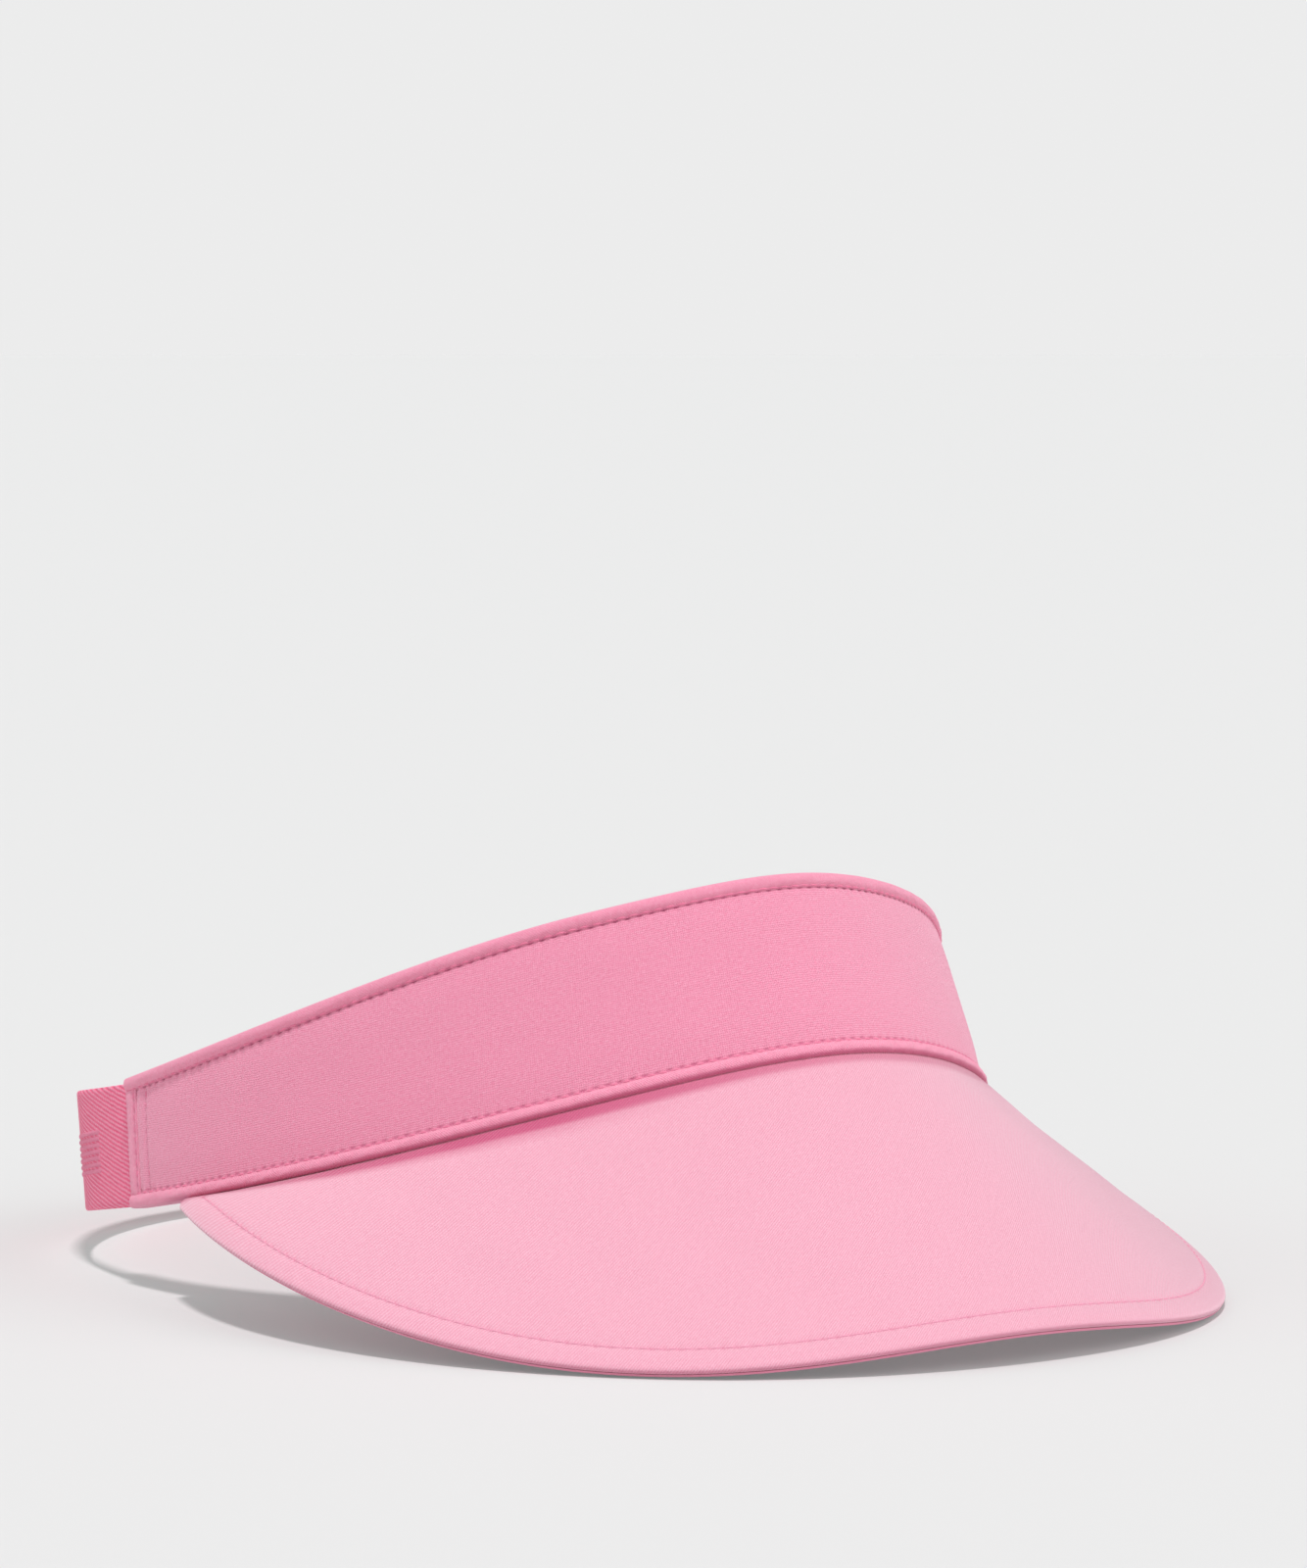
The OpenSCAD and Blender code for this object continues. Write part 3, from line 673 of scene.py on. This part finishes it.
# a bias strip rolled over an edge of the band and caught by one row of stitches
def buildBinding(name, top):
    phase, holes, seed = (topPhase, topHoles, 21) if top else (lowPhase, lowHoles, 22)
    arc = bandArc[:, None]
    skin = np.array(roll["outside"] + roll["edge"] + roll["inside"])
    hollow = skin.copy()
    hollow[:, 0] = np.clip(skin[:, 0] * 0.84 + 0.5, 0.5, 2.9)
    hollow[:, 1] = np.interp(skin[:, 1], [-4.18, -3.7, -1.9, 0.1, 0.7], [-3.68, -3.655, -1.9, 0.045, 0.06])
    depth = skin[:, 0][None, :]
    out = skin[:, 1][None, :]
    isOut, isIn = (out > -0.2), (out < -3.3)
    rowPinch = bump((depth - band["rowAt"]) / 0.36)
    swell = 0.11 * ripple(arc, depth * 2.0, 5.5, seed) * np.sin(np.pi * np.clip(depth / 2.8, 0, 1))
    scallop = 0.10 * (0.5 - 0.5 * np.cos(2 * np.pi * phase))[:, None] * bump((depth - 1.8) / 0.7)
    move = np.where(isOut, swell + scallop - 0.13 * rowPinch * holes[:, None], 0.0)
    move = np.where(isIn, -0.4 * swell + 0.1 * rowPinch * holes[:, None], move)
    edgeWave = np.where((depth > 2.5) & isOut, 0.07 * np.cos(2 * np.pi * phase)[:, None], 0.0)
    s = depth + edgeWave + 0.0 * arc
    n = out + move
    fromEnd = np.minimum(arc, bandArc[-1] - arc)
    lump = 1 - 0.35 * bump(fromEnd / 0.5)
    n = np.where(isOut, n * lump, n)
    h = bandHeight(bandP)[:, None]
    def onEdge(a, b):
        return wall(bandP[:, None], h - a if top else a, b)
    inner = onEdge(np.broadcast_to(hollow[:, 0], s.shape), np.broadcast_to(hollow[:, 1], s.shape))
    rings = np.concatenate([onEdge(s, n), inner[:, ::-1]], 1)
    across = np.concatenate([[0], np.cumsum(np.hypot(*np.diff(skin, axis=0).T))])
    vs = np.concatenate([across, (2 * across[-1] + 0.5 - across)[::-1]])
    item = sheetMesh(name, rings, bandArc, vs)
    # painted shade along the row of stitches
    rowShade = topShade if top else lowShade
    shadeAmount = np.where(isOut, 0.8 * bump((depth - 2.78) / 0.25) * rowShade[:, None], 0)
    if not top:    # its underside, close over the brim
        # painted shade on the lower roll's underside, where it lies close over the brim
        shadeOverBrim = ease((visor["brimEnd"] + 3 - np.abs(bandP)) / 6)[:, None]
        shadeAmount = shadeAmount + np.where(isOut, 0.75 * shadeOverBrim * bump(np.clip(depth - 0.3, 0, None) / 0.5), 0)
    paintShade(item, np.concatenate([shadeAmount, 0 * shadeAmount], 1))
    node = "top_binding" if top else "bottom_binding"
    finishPiece(item, cloths["rollCotton"], "crown", [node], angle=70)
    return item

# the strip rolled over the band's end
def buildHem(name, side):
    rows = 26
    reach = [4.15, 4.1, 3.8, 3.4, 3.0, 2.3, 1.4, 0.5, 0.06, -0.1]
    lift = [0.06, 0.24, 0.36, 0.24, 0.42, 0.52, 0.5, 0.36, 0.1, -0.3]
    backReach, backLift = [-0.04, 0.4, 1.6, 3.8], [-0.6, -0.74, -0.765, -0.765]
    perDegree = degreeAt(band["end"])
    outlineA = np.array(reach + backReach)
    outlineN = np.array(lift + backLift)
    f = np.linspace(0, 1, rows)
    pEnd = band["end"]
    h = bandHeight(pEnd)
    s = (2.5 + f * (h - 5.0))[:, None]
    holes = bump(endPhase(s) / 0.22)
    pull = bump((outlineA[None, :] - band["endRows"][0]) / 0.4) * holes * (outlineN[None, :] > 0)
    swell = 0.06 * ripple(s * 1.3, outlineA[None, :], 4.0, 31) * (outlineN[None, :] > 0.1)
    n = outlineN[None, :] - 0.14 * pull + swell
    tip = 1 - 0.5 * (bump((f[:, None]) / 0.03) + bump((1 - f[:, None]) / 0.03))
    n = np.where(n > 0, n * tip, n)
    a = outlineA[None, :] + 0.0 * s
    p = side * (pEnd - a / perDegree)
    skin = wall(p, s + 0 * a, n)
    innerA, innerN = np.clip(outlineA, 0.32, 4.1), np.clip(outlineN, -0.7, 0.03)
    inner = wall(side * (pEnd - innerA[None, :] / perDegree), s + 0 * a, innerN[None, :] + 0 * a)
    rings = np.concatenate([skin, inner[:, ::-1]], 1)
    across = np.concatenate([[0], np.cumsum(np.hypot(np.diff(outlineA), np.diff(outlineN)))])
    vs = np.concatenate([across, (2 * across[-1] + 0.4 - across)[::-1]])
    item = sheetMesh(name, rings, runOf(skin[:, 4]), vs)
    # painted shade between the stitches of the outer end row
    shadeAmount = bump((outlineA[None, :] - band["endRows"][0]) / 0.3) * (1 - bump(endPhase(s) / 0.3))
    shadeAmount = shadeAmount * (outlineN[None, :] > 0)
    paintShade(item, np.concatenate([shadeAmount, 0 * shadeAmount], 1))
    node = "end_hem_left" if side > 0 else "end_hem_right"
    finishPiece(item, cloths["rollCotton"], "crown", [node], angle=70)
    return item

def buildSweatband():
    rows = 22
    f = np.linspace(0, 1, rows)
    f = 0.5 - 0.5 * np.cos(np.pi * f)
    p, total, _ = evenAlong(lambda q: wall(q, 0.0, -3.0), -band["end"] + 0.25, band["end"] - 0.25, 0.9)
    arc = runOf(wall(p, 0.0, -3.0))[:, None]
    h = bandHeight(p)[:, None]
    s = 0.6 + f[None, :] * (h - 1.2)
    edge = np.minimum(s - 2.9, h - 2.9 - s)
    thick = np.minimum(np.sqrt(np.clip(np.minimum(s - 0.6, h - 0.6 - s), 0, None) / 0.5), 1)
    inward = -3.62 - 0.45 * ease(edge / 5) + 0.09 * ripple(arc, s, 9, 41)
    inward = np.where(edge < 0.05, np.maximum(inward, -3.6), inward)
    fromEnd = np.minimum(arc, total - arc)
    inward = -3.0 + (inward + 3.0) * (0.45 + 0.55 * ease(fromEnd / 1.2)) * (0.3 + 0.7 * thick)
    front = np.full_like(inward, -2.22)
    rings = np.concatenate([wall(p[:, None], s, front), wall(p[:, None], s, inward)[:, ::-1]], 1)
    vs = np.concatenate([s, (2 * h + 1 - s)[:, ::-1]], 1)
    item = sheetMesh("browPad", rings, arc[:, 0], vs)
    finishPiece(item, cloths["browTerry"], "crown", ["sweatband"])
    return item

# centres, directions and normals of the stitches of a row
def rowOnWall(table, stitches, heightAt, lift):
    fine, run, total = table
    mid = np.interp((np.arange(stitches) + 0.5) / stitches * total, run, fine)
    keep = np.abs(mid) < band["end"] - 0.55
    mid = mid[keep]
    d = 0.05
    centres = wall(mid, heightAt(mid), lift)
    along = wall(mid + d, heightAt(mid + d), lift) - wall(mid - d, heightAt(mid - d), lift)
    return centres, along, wallAxes(mid)[1]

def buildBandStitches():
    rows = []
    for name, node, table, count, heightAt in (
            ("topRow", "top_stitching", topTable, topStitches, lambda p: bandHeight(p) - band["rowAt"]),
            ("lowerRow", "bottom_stitching", lowTable, lowStitches, lambda p: band["rowAt"] + 0 * p)):
        centres, along, normal = rowOnWall(table, count, heightAt, 0.22)
        rows.append(stitchRow(name, centres, along, normal, 1.5, 0.36, threadPink, "crown", [node]))
    perDegree = degreeAt(band["end"])
    pitch, clear = band["endPitch"], band["endClear"]
    for side, word in ((-1, "Right"), (1, "Left")):
        centres, along, normals = [], [], []
        for at, lift in zip(band["endRows"], (0.27, 0.0)):
            p = side * (band["end"] - at / perDegree)
            h = float(bandHeight(p))
            k = np.arange(math.ceil(clear / pitch), math.floor((h - clear) / pitch))
            s = (k + 1.0) * pitch
            q = np.full(len(s), p)
            centres.append(wall(q, s, np.full(len(s), lift)))
            along.append(wall(q, s + 0.2, 0.0) - wall(q, s, 0.0))
            normals.append(wallAxes(q)[1])
        joined = [np.concatenate(part) for part in (centres, along, normals)]
        rows.append(stitchRow("endRows" + word, *joined, 1.45, 0.36, threadPink, "crown",
                              ["end_stitching_" + word.lower()]))
    return rows

bandPanel = buildBandFace()
topRoll = buildBinding("topRoll", True)
lowerRoll = buildBinding("lowerRoll", False)
hems = [buildHem("endHemRight", -1), buildHem("endHemLeft", 1)]
browPad = buildSweatband()
bandRows = buildBandStitches()
print("band ready:", len(bandP), "steps,", topStitches + lowStitches, "stitches")

# the brim
brimMake = {"step": 0.5, "cover": 0.45, "rowIn": 5.6, "stitchPitch": 2.5,
            "rows": 38, "pinch": 0.13, "wave": 0.12}

def reachOf(width):
    u = np.linspace(0.9, 1, 2001)
    return u[brimWidthAt(u) >= width].max()

def brimStations(least):
    end = reachOf(least)
    u, total, table = evenAlong(lambda q: brim(q, np.ones(len(q)), 1.0), -end, end, brimMake["step"])
    return u, total, table

brimU, rimRun, _ = brimStations(visor["brimTip"])
rowEnd = reachOf(brimMake["rowIn"] + visor["brimTip"])

def brimRowPlace(u):
    return brim(u, 1 - brimMake["rowIn"] / brimWidthAt(u), 0.0)

_, rowRun, rowTable = evenAlong(brimRowPlace, -rowEnd, rowEnd, brimMake["stitchPitch"])
rowCount = round(rowRun / brimMake["stitchPitch"])
brimPhase = np.interp(brimU, rowTable[0], rowTable[1]) / rowRun * rowCount
brimHoles = holePull(brimPhase, 51)

def brimCover(name, onTop, material, node):
    u = brimU
    w = brimWidthAt(u)[:, None]
    near = np.clip(w / 14, 0.2, 1)
    rootRows = np.array([-0.9, -0.45, 0.0, 0.45, 0.9, 1.4, 2.1, 3.1])
    rowsIn = np.array([8.5, 7.4, 6.8, 6.3, 5.95, 5.6, 5.25, 4.9, 4.4, 3.7, 2.9, 2.1, 1.4, 0.9])
    thick, cover, half = visor["brimThick"], brimMake["cover"], 1.0
    rootPart = w - visor["brimGap"] - rootRows * near
    rimPart = 0.9 + (rowsIn - 0.9) * np.clip((w - 4) / 12, 0.02, 1)
    inner = np.linspace(0, 1, brimMake["rows"] - 18)[1:-1]
    between = rootPart[:, -1:] + inner * (rimPart[:, :1] - rootPart[:, -1:])
    fromRimFlat = np.concatenate([rootPart, between, rimPart], 1)    # millimetres in from the rim
    rimTurns = np.array([0.62, 0.36, 0.17, 0.06, 0.02, 0.08])
    sink = np.array([0.04, 0.15, 0.33, 0.58, 0.84, 0.95])
    fromRim = np.concatenate([fromRimFlat, np.broadcast_to(rimTurns, (len(u), 6))], 1)
    depth = np.concatenate([np.zeros_like(fromRimFlat), np.broadcast_to(sink, (len(u), 6))], 1)
    depth[:, :2] = 0.30, 0.15    # tucked in under the binding
    arc = runOf(brim(u, np.ones(len(u)), 1.0))[:, None]
    flatPart = fromRim > 0.7
    fromRow = fromRim - brimMake["rowIn"]
    inRow = (np.abs(u) < rowEnd + 0.004)[:, None]
    relief = -0.10 * bump(fromRow / 0.8) - brimMake["pinch"] * brimHoles[:, None] * bump(fromRow / 0.75)
    relief += -0.035 * np.cos(2 * np.pi * brimPhase)[:, None] * np.exp(-np.abs(fromRow) / 1.6)
    relief = np.where(inRow, relief, 0)
    relief += 0.10 * bump((fromRim - 2.9) / 1.6)
    relief += brimMake["wave"] * ripple(arc * 0.6, fromRim, 19, 52 + onTop) * ease((fromRim - 6) / 12)
    fromTip = rimRun / 2 - np.abs(arc - rimRun / 2)
    relief = relief * flatPart * ease((w - fromRim) / 2.5 + 0.2) * ease(fromTip / 8 + 0.1)
    limit = 0.8 if onTop else 0.45
    relief = np.clip(relief, -0.16 if onTop else -0.12, limit)
    d = depth - relief
    if not onTop:
        d = thick - d
    t = 1 - fromRim / w
    skin = brim(u[:, None], t, d)
    backRim = np.maximum(fromRim, cover)
    backD = np.where(flatPart, cover, np.clip(depth + 0.4, cover, half - 0.05))
    if not onTop:
        backD = thick - backD
    back = brim(u[:, None], 1 - backRim / w, backD)
    rings = np.concatenate([skin, back[:, ::-1]], 1)
    steps = np.linalg.norm(np.diff(skin, axis=1), axis=-1) / mm
    across = np.concatenate([np.zeros((len(u), 1)), np.cumsum(steps, axis=1)], 1)
    vs = np.concatenate([across, (2 * across[:, -1:] + 0.4 - across)[:, ::-1]], 1)
    us = np.concatenate([brimAcross(u, t), brimAcross(u, t)[:, ::-1]], 1)
    item = sheetMesh(name, rings, us, vs)
    # painted shade at the holes of the brim's row of stitches
    shadeAmount = 0.55 * np.where(inRow, brimHoles[:, None] * bump(fromRow / 0.3), 0)
    side = ease(np.abs(u) / 0.6)[:, None]
    if onTop:    # the fold under the band's edge, deeper at the sides
        # painted shade in the fold under the band's edge
        past = np.clip(w - fromRim - 1.2 - 1.1 * side, 0, None)
        shadeAmount = shadeAmount + (0.6 + 0.4 * side) * bump(past / (0.75 + 0.5 * side))
        # painted shade on the lower part of the rim's roll
        shadeAmount = shadeAmount + 0.40 * ease((depth - 0.15) / 0.35)
    else:
        # painted shade in a strip along the rim of the under cover
        shadeAmount = shadeAmount + 0.26 * bump(np.clip(fromRim - 0.8, 0, None) / 1.2)
    paintShade(item, np.concatenate([shadeAmount, 0 * shadeAmount], 1))
    finishPiece(item, cloths[material], "crown", [node], angle=60)
    return item

# sideways distance in the flat cloth, so that its weave keeps one direction over the brim
def brimAcross(u, t):
    return brim(u[:, None], t, 0.0)[..., 0] / mm

def buildBrimStitches():
    mid = np.interp((np.arange(rowCount) + 0.5) / rowCount * rowRun, rowTable[1], rowTable[0])
    d = 0.0005
    centres = brim(mid, 1 - brimMake["rowIn"] / brimWidthAt(mid), np.full(len(mid), 0.02))
    along = brimRowPlace(mid + d) - brimRowPlace(mid - d)
    inner = brim(mid, 1 - brimMake["rowIn"] / brimWidthAt(mid), np.full(len(mid), 1.0))
    return stitchRow("brimRow", centres, along, centres - inner, 1.95, 0.30, threadPale, "crown",
                     ["brim_stitching"])

threadPale = solidMaterial("threadPale", (0.88, 0.42, 0.55), (0.74, 0.27, 0.40), 4000, 0.05, 0.75)
brimTop = brimCover("brimTop", True, "brimTwill", "brim_top_cover")
brimUnder = brimCover("brimUnder", False, "underTwill", "brim_under_cover")
brimRow = buildBrimStitches()
print("brim ready:", len(brimU), "steps,", rowCount, "stitches")

# the strap
strap = {"low": 0.7, "high": 23.5, "thick": 1.3, "tuck": 9.0, "rows": 26, "step": 0.7, "sag": 0.16,
         "blockHeight": 8.6, "blockRibs": 7, "blockFrom": 18.0, "blockLength": 30.0, "ribLift": 0.27}
endPerDegree = degreeAt(band["end"])
tuckEnd = band["end"] - strap["tuck"] / endPerDegree

def strapFront(p):
    q = np.minimum(p, 360 - p)
    return -0.8 * (1 - ease((q - band["end"]) / 26))

def strapRelief(p, s, arc):
    q = np.minimum(p, 360 - p)
    free = ease((q - band["end"]) / 10)
    return strap["sag"] * ripple(arc, s * 0.5, 26, 61) * free

def blendStrap(item):
    a = wall(np.array(band["end"] + 1.0), np.array(0.0), np.array(0.0))
    b = wall(np.array(146.0), np.array(0.0), np.array(0.0))
    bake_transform(item)

def buildStrap():
    p, total, _ = evenAlong(lambda q: wall(q, 12.0, 0.0), tuckEnd, 360 - tuckEnd, strap["step"])
    arc = runOf(wall(p, 12.0, 0.0))[:, None]
    rows = strap["rows"]
    f = 0.5 - 0.5 * np.cos(np.pi * np.linspace(0, 1, rows))
    tension = bump((np.minimum(p, 360 - p) - 126) / 26)[:, None]
    low, high = strap["low"] + 0.5 * tension, strap["high"] + 1.3 * tension
    s = low + f[None, :] * (high - low)
    edge = np.minimum(s - low, high - s)
    rounding = np.sqrt(np.clip(1 - (1 - np.clip(edge / 0.65, 0, 1)) ** 2, 0, 1))
    middle = strapFront(p)[:, None] - strap["thick"] / 2 + strapRelief(p[:, None], s, arc)
    half = strap["thick"] / 2 * (0.25 + 0.75 * rounding)
    q = np.minimum(p, 360 - p)[:, None]
    room = ease((q - band["end"] - 0.5) / 3)
    front = middle + half
    back = middle - half
    front = np.where(room < 1, np.minimum(front, strapFront(p)[:, None]), front)
    rings = np.concatenate([wall(p[:, None], s, front), wall(p[:, None], s, back)[:, ::-1]], 1)
    vs = np.concatenate([s, (2 * strap["high"] + 1 - s)[:, ::-1]], 1)
    item = sheetMesh("elasticStrap", rings, arc[:, 0], vs)
    nodes = ["strap_side_right", "strap_back", "strap_side_left"]
    finishPiece(item, cloths["elasticWeb"], None, nodes, angle=60)
    blendStrap(item)
    return item, total

# plain raised ribs on the wearer's right
def buildBlock():
    first = 360 - (band["end"] + strap["blockFrom"] / endPerDegree)
    last = first - strap["blockLength"] / degreeAt(108.5)
    p = np.linspace(last, first, 60)
    arc = runOf(wall(p, 12.0, 0.0))[:, None]
    whole = evenAlong(lambda q: wall(q, 12.0, 0.0), tuckEnd, 360 - tuckEnd, strap["step"])
    offset = np.interp(p[0], *whole[2])
    pitch = strap["blockHeight"] / strap["blockRibs"]
    low = (strap["low"] + strap["high"]) / 2 - strap["blockHeight"] / 2
    items = []
    clearSelection()
    for i in range(strap["blockRibs"]):
        f = np.linspace(0, math.pi, 7)
        s = low + (i + 0.4) * pitch - np.cos(f)[None, :] * pitch * 0.36 + 0 * arc
        lift = np.sin(f)[None, :] ** 0.8 * strap["ribLift"] * (0.8 + 0.2 * ripple(arc, i * 9.0, 3, 71 + i))
        taper = ease(np.minimum(arc, arc[-1] - arc) / 1.2) * 0.9 + 0.1
        base = strapFront(p)[:, None] + strapRelief(p[:, None], s, arc + offset)
        front, back = base + lift * taper, base - 0.12 + 0 * s
        rings = np.concatenate([wall(p[:, None], s, front), wall(p[:, None], s, back)[:, ::-1]], 1)
        vs = np.concatenate([s, (40 - s)[:, ::-1]], 1)
        items.append(sheetMesh("strapRib%d" % i, rings, arc[:, 0], vs))
    for item in items:
        item.select_set(True)
    bpy.context.view_layer.objects.active = items[0]
    bpy.ops.object.join()
    block = bpy.context.object
    block.name = "strapRibs"
    finishPiece(block, cloths["ribWeb"], None, ["strap_block"], angle=60)
    blendStrap(block)
    return block

elasticStrap, strapLength = buildStrap()
strapRibs = buildBlock()
print("strap ready:", round(strapLength, 1), "mm long")

# the care label
label = {"width": 18.0, "height": 14.0, "at": 62.0, "thick": 0.14, "leafGap": 0.13}

# one strip, folded in half, with both its ends in the seam
def buildLabel():
    perDegree = degreeAt(label["at"], -3.8)
    side = np.linspace(-1, 1, 15)
    p = label["at"] + side * label["width"] / 2 / perDegree
    turn = np.linspace(0, math.pi, 9)
    fold = label["leafGap"]
    top = label["height"] - fold
    up = np.linspace(0, top, 11)[:-1]
    s = np.concatenate([up, top + fold * np.sin(turn), up[::-1]])
    out = np.concatenate([up * 0 + fold, fold * np.cos(turn), up * 0 - fold])
    curl = 0.3 * (s / label["height"]) ** 2 * (1 + 0.5 * np.cos(3 * side))[:, None]
    seam = 2.95
    dirS = np.concatenate([up * 0, np.sin(turn), up * 0])
    dirN = np.concatenate([up * 0 + 1, np.cos(turn), up * 0 - 1])
    half = label["thick"] / 2

    def leaf(sign):
        n = -4.2 - fold - half - curl + (out + sign * half * dirN)[None, :]
        return wall(p[:, None], (seam + s + sign * half * dirS)[None, :] + 0 * n, n)
    rings = np.concatenate([leaf(1), leaf(-1)[:, ::-1]], 1)
    across = np.concatenate([[0], np.cumsum(np.hypot(np.diff(s), np.diff(out)))])
    vs = np.concatenate([across, (2 * across[-1] + 0.2 - across)[::-1]])
    item = sheetMesh("careTag", rings, runOf(wall(p, 3.0, -4.0)), vs)
    finishPiece(item, cloths["tagSatin"], "crown", ["care_label"])
    return item

careTag = buildLabel()

clearSelection()
